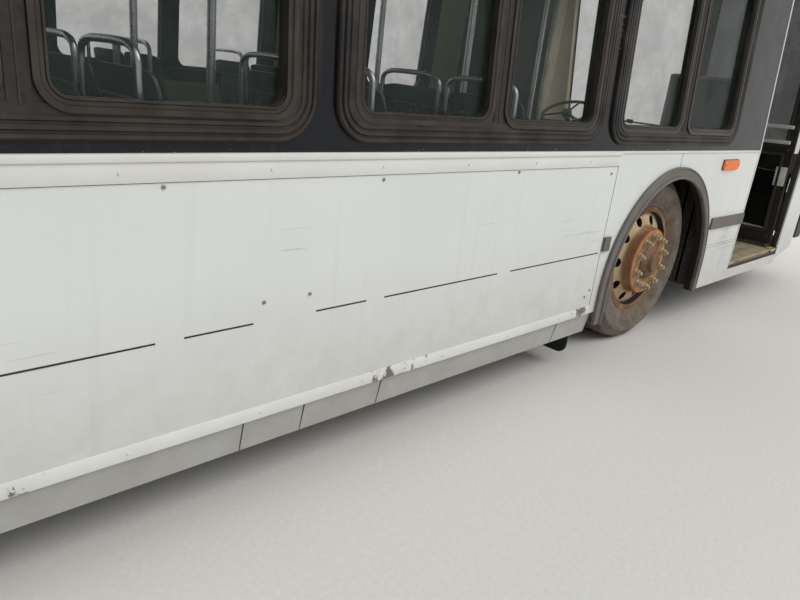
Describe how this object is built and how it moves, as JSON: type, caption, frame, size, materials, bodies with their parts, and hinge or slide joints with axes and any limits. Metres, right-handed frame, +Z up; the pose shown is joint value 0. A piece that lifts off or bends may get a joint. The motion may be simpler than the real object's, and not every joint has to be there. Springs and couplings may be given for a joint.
{
  "type": "city bus",
  "caption": "Low-floor city bus: hollow ribbed-window body, steered front wheels, twin rear wheels, working doors, roof hatches, engine door and boarding ramp.",
  "frame": {"origin": "on the road, under the middle of the overall length and width", "axes": "+X forwards, +Y to the bus's left (driver's side), +Z up"},
  "size_m": [12.3478, 3.06, 2.968],
  "materials": {
    "white_paint": "gloss, weathered",
    "black_paint": "gloss",
    "window_rubber": "matt",
    "tinted_glass": "clear",
    "grey_paint": "satin, chipped",
    "grey_rubber": "matt",
    "lamp_clear": "clear",
    "lamp_red": "gloss",
    "lamp_amber": "gloss",
    "bumper_plastic": "satin",
    "frame_steel": "matt, dusty",
    "floor_covering": "worn",
    "ramp_alloy": "worn tread plate",
    "engine_iron": "oily",
    "axle_iron": "dusty",
    "tyre": "dusty",
    "wheel_steel": "rusty",
    "seat_fabric": "woven",
    "driver_fabric": "woven",
    "black_plastic": "satin",
    "interior_panel": "satin",
    "stainless": "brushed"
  },
  "bodies": {
    "chassis": {"lower_wall_left": "white_paint", "lower_wall_right": "white_paint", "roof": "white_paint", "front_cap": "white_paint", "rear_cap": "white_paint", "window_wall_left": "black_paint", "window_wall_right": "black_paint", "window_frames": "window_rubber", "side_glass": "tinted_glass", "windshield": "tinted_glass", "skirts": "grey_paint", "rubber_trims": "grey_rubber", "headlamps": "lamp_clear", "tail_lamps": "lamp_red", "marker_lamps": "lamp_amber", "bumpers": "bumper_plastic", "rear_grille": "black_plastic", "mirrors": "black_plastic", "dashboard": "black_plastic", "underframe": "frame_steel", "wheelhouses": "frame_steel", "floor_deck": "floor_covering", "engine": "engine_iron", "front_axle": "axle_iron", "rear_axle": "axle_iron", "passenger_seats": "seat_fabric", "driver_seat": "driver_fabric", "partitions": "interior_panel", "door_headers": "interior_panel", "stanchions": "stainless"},
    "knuckle_left": {"knuckle_left": "axle_iron"},
    "knuckle_right": {"knuckle_right": "axle_iron"},
    "tie_rod": {"tie_rod": "axle_iron"},
    "wheel_front_left": {"tyre_front_left": "tyre", "wheel_front_left": "wheel_steel"},
    "wheel_front_right": {"tyre_front_right": "tyre", "wheel_front_right": "wheel_steel"},
    "wheels_rear_left": {"tyres_rear_left": "tyre", "wheels_rear_left": "wheel_steel"},
    "wheels_rear_right": {"tyres_rear_right": "tyre", "wheels_rear_right": "wheel_steel"},
    "front_door_arms_front": {"front_door_arms_front": "frame_steel"},
    "front_door_arms_rear": {"front_door_arms_rear": "frame_steel"},
    "front_door_leaf_front": {"front_door_leaf_front": "black_paint", "front_door_glass_front": "tinted_glass"},
    "front_door_leaf_rear": {"front_door_leaf_rear": "black_paint", "front_door_glass_rear": "tinted_glass"},
    "rear_door_leaf_front": {"rear_door_leaf_front": "black_paint", "rear_door_glass_front": "tinted_glass"},
    "rear_door_leaf_rear": {"rear_door_leaf_rear": "black_paint", "rear_door_glass_rear": "tinted_glass"},
    "engine_door": {"engine_door": "white_paint"},
    "hatch_front": {"hatch_front": "white_paint"},
    "hatch_rear": {"hatch_rear": "white_paint"},
    "ramp": {"ramp": "ramp_alloy"}
  },
  "joints": [
    {"name": "steer_left", "type": "hinge", "parent": "chassis", "child": "knuckle_left", "pos_m": [3.274, 0.932, 0.47], "axis": [0, 0, 1], "range_deg": [-45, 45]},
    {"name": "steer_right", "type": "hinge", "parent": "chassis", "child": "knuckle_right", "pos_m": [3.274, -0.932, 0.47], "axis": [0, 0, 1], "range_deg": [-45, 45]},
    {"name": "tie_rod_pivot", "type": "hinge", "parent": "knuckle_left", "child": "tie_rod", "pos_m": [3.094, 0.932, 0.335], "axis": [0, 0, 1], "range_deg": [-45, 45]},
    {"name": "spin_front_left", "type": "hinge", "parent": "knuckle_left", "child": "wheel_front_left", "pos_m": [3.274, 1.082, 0.47], "axis": [0, 1, 0], "continuous": true},
    {"name": "spin_front_right", "type": "hinge", "parent": "knuckle_right", "child": "wheel_front_right", "pos_m": [3.274, -1.082, 0.47], "axis": [0, 1, 0], "continuous": true},
    {"name": "spin_rear_left", "type": "hinge", "parent": "chassis", "child": "wheels_rear_left", "pos_m": [-2.924, 1.082, 0.47], "axis": [0, 1, 0], "continuous": true},
    {"name": "spin_rear_right", "type": "hinge", "parent": "chassis", "child": "wheels_rear_right", "pos_m": [-2.924, -1.082, 0.47], "axis": [0, 1, 0], "continuous": true},
    {"name": "front_door", "type": "hinge", "parent": "chassis", "child": "front_door_arms_front", "pos_m": [5.304, -1.225, 0.35], "axis": [0, 0.0335, 0.9994], "range_deg": [0, 90]},
    {"name": "front_door_arm_rear", "type": "hinge", "parent": "chassis", "child": "front_door_arms_rear", "pos_m": [4.474, -1.225, 0.35], "axis": [0, 0.0335, 0.9994], "range_deg": [-90, 0]},
    {"name": "front_door_leaf_front", "type": "hinge", "parent": "front_door_arms_front", "child": "front_door_leaf_front", "pos_m": [5.304, -1.03011, 0.34347], "axis": [0, 0.0335, 0.9994], "range_deg": [-180, 0]},
    {"name": "front_door_leaf_rear", "type": "hinge", "parent": "front_door_arms_rear", "child": "front_door_leaf_rear", "pos_m": [4.474, -1.03011, 0.34347], "axis": [0, 0.0335, 0.9994], "range_deg": [0, 180]},
    {"name": "rear_door", "type": "hinge", "parent": "chassis", "child": "rear_door_leaf_front", "pos_m": [-0.801, -1.285, 0.35], "axis": [0, 0.0335, 0.9994], "range_deg": [0, 85]},
    {"name": "rear_door_rear", "type": "hinge", "parent": "chassis", "child": "rear_door_leaf_rear", "pos_m": [-2.101, -1.285, 0.35], "axis": [0, 0.0335, 0.9994], "range_deg": [-85, 0]},
    {"name": "engine_door", "type": "hinge", "parent": "chassis", "child": "engine_door", "pos_m": [-6.11, 0, 1.492], "axis": [0, 1, 0], "range_deg": [0, 80]},
    {"name": "hatch_front", "type": "hinge", "parent": "chassis", "child": "hatch_front", "pos_m": [2.23, 0, 2.926], "axis": [0, 1, 0], "range_deg": [0, 50]},
    {"name": "hatch_rear", "type": "hinge", "parent": "chassis", "child": "hatch_rear", "pos_m": [-3.27, 0, 2.926], "axis": [0, 1, 0], "range_deg": [0, 50]},
    {"name": "ramp", "type": "hinge", "parent": "chassis", "child": "ramp", "pos_m": [4.889, -1.287, 0.338], "axis": [1, 0, 0], "range_deg": [0, 200]}
  ],
  "couplings": [
    {"joint": "steer_right", "follows": "steer_left", "ratio": 1},
    {"joint": "tie_rod_pivot", "follows": "steer_left", "ratio": -1},
    {"joint": "front_door_arm_rear", "follows": "front_door", "ratio": -1},
    {"joint": "front_door_leaf_front", "follows": "front_door", "ratio": -2},
    {"joint": "front_door_leaf_rear", "follows": "front_door", "ratio": 2},
    {"joint": "rear_door_rear", "follows": "rear_door", "ratio": -1}
  ]
}
